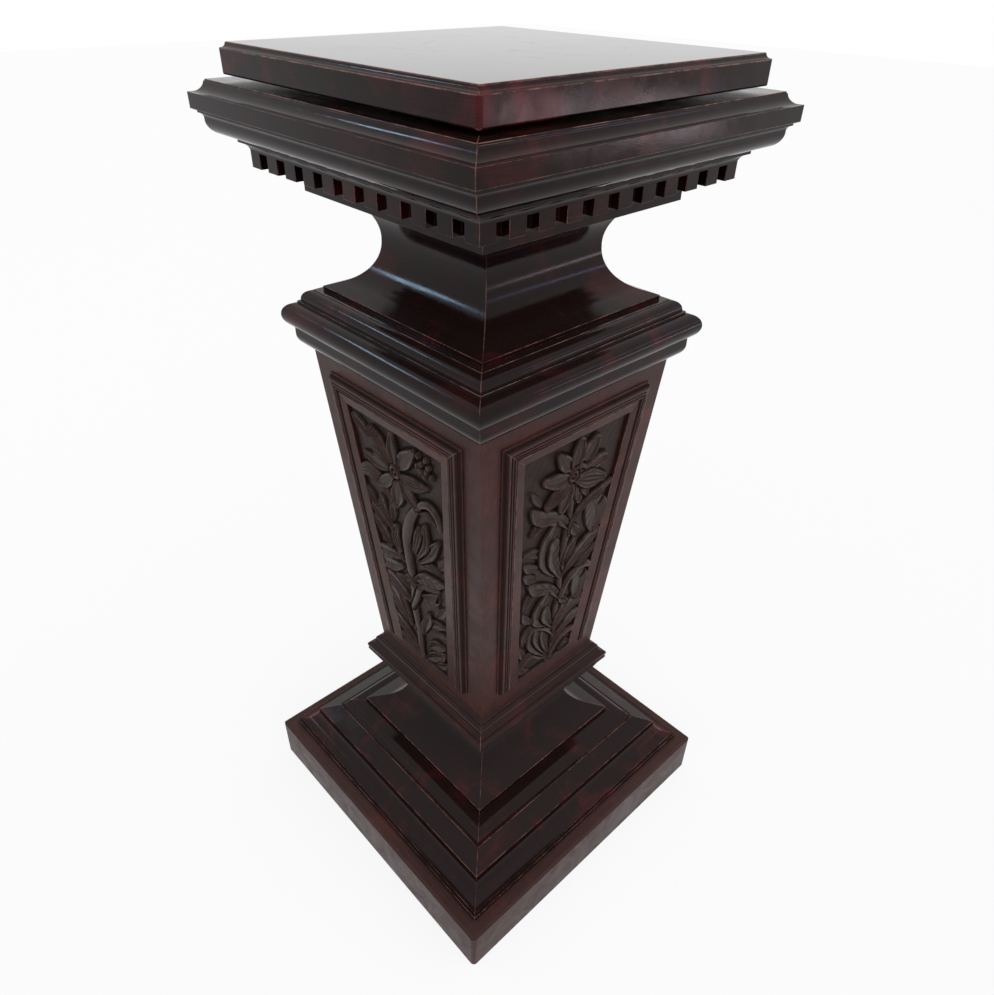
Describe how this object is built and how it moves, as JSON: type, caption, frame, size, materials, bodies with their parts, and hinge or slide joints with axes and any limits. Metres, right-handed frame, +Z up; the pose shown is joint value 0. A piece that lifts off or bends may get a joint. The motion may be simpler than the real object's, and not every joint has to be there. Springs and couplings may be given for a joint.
{
  "type": "square pedestal column stand",
  "caption": "Free-standing square mahogany pedestal with a tapered carved shaft, dentil cornice, stepped plinth and a revolving top board.",
  "frame": {"origin": "centre of the plinth's footprint, on the floor", "axes": "+Z up the column; X and Y square to the four faces, the front face towards -Y"},
  "size_m": [0.48, 0.48, 1.05],
  "materials": {
    "polished_mahogany": "dark french polish, glossy",
    "carved_mahogany": "dark stained, satin",
    "secondary_pine": "unpolished, aged",
    "swivel_steel": "dull, lightly oxidised"
  },
  "bodies": {
    "stand": {"base_board": "secondary_pine", "base_moulding_back": "polished_mahogany", "base_moulding_front": "polished_mahogany", "base_moulding_left": "polished_mahogany", "base_moulding_right": "polished_mahogany", "base_scotia_back": "polished_mahogany", "base_scotia_front": "polished_mahogany", "base_scotia_left": "polished_mahogany", "base_scotia_right": "polished_mahogany", "capital_back": "polished_mahogany", "capital_front": "polished_mahogany", "capital_left": "polished_mahogany", "capital_right": "polished_mahogany", "carved_panel_back": "carved_mahogany", "carved_panel_front": "carved_mahogany", "carved_panel_left": "carved_mahogany", "carved_panel_right": "carved_mahogany", "corner_blocks": "secondary_pine", "cornice_back": "polished_mahogany", "cornice_front": "polished_mahogany", "cornice_left": "polished_mahogany", "cornice_right": "polished_mahogany", "dentil_course_back": "polished_mahogany", "dentil_course_front": "polished_mahogany", "dentil_course_left": "polished_mahogany", "dentil_course_right": "polished_mahogany", "foot_moulding_back": "polished_mahogany", "foot_moulding_front": "polished_mahogany", "foot_moulding_left": "polished_mahogany", "foot_moulding_right": "polished_mahogany", "frame_rail_back": "polished_mahogany", "frame_rail_front": "polished_mahogany", "frame_rail_left": "polished_mahogany", "frame_rail_right": "polished_mahogany", "frame_stile_a_back": "polished_mahogany", "frame_stile_a_front": "polished_mahogany", "frame_stile_a_left": "polished_mahogany", "frame_stile_a_right": "polished_mahogany", "frame_stile_b_back": "polished_mahogany", "frame_stile_b_front": "polished_mahogany", "frame_stile_b_left": "polished_mahogany", "frame_stile_b_right": "polished_mahogany", "lower_swivel_plate": "swivel_steel", "neck_back": "polished_mahogany", "neck_front": "polished_mahogany", "neck_left": "polished_mahogany", "neck_right": "polished_mahogany", "plinth_back": "polished_mahogany", "plinth_front": "polished_mahogany", "plinth_left": "polished_mahogany", "plinth_right": "polished_mahogany", "shaft_board_back": "polished_mahogany", "shaft_board_front": "polished_mahogany", "shaft_board_left": "polished_mahogany", "shaft_board_right": "polished_mahogany", "top_board": "secondary_pine"},
    "revolving_top": {"top_slab": "polished_mahogany", "upper_swivel_plate": "swivel_steel", "pivot_pin": "swivel_steel", "pivot_nut": "swivel_steel"}
  },
  "joints": [
    {"name": "top_spin", "type": "hinge", "parent": "stand", "child": "revolving_top", "pos_m": [0, 0, 1.021], "axis": [0, 0, 1], "continuous": true}
  ]
}
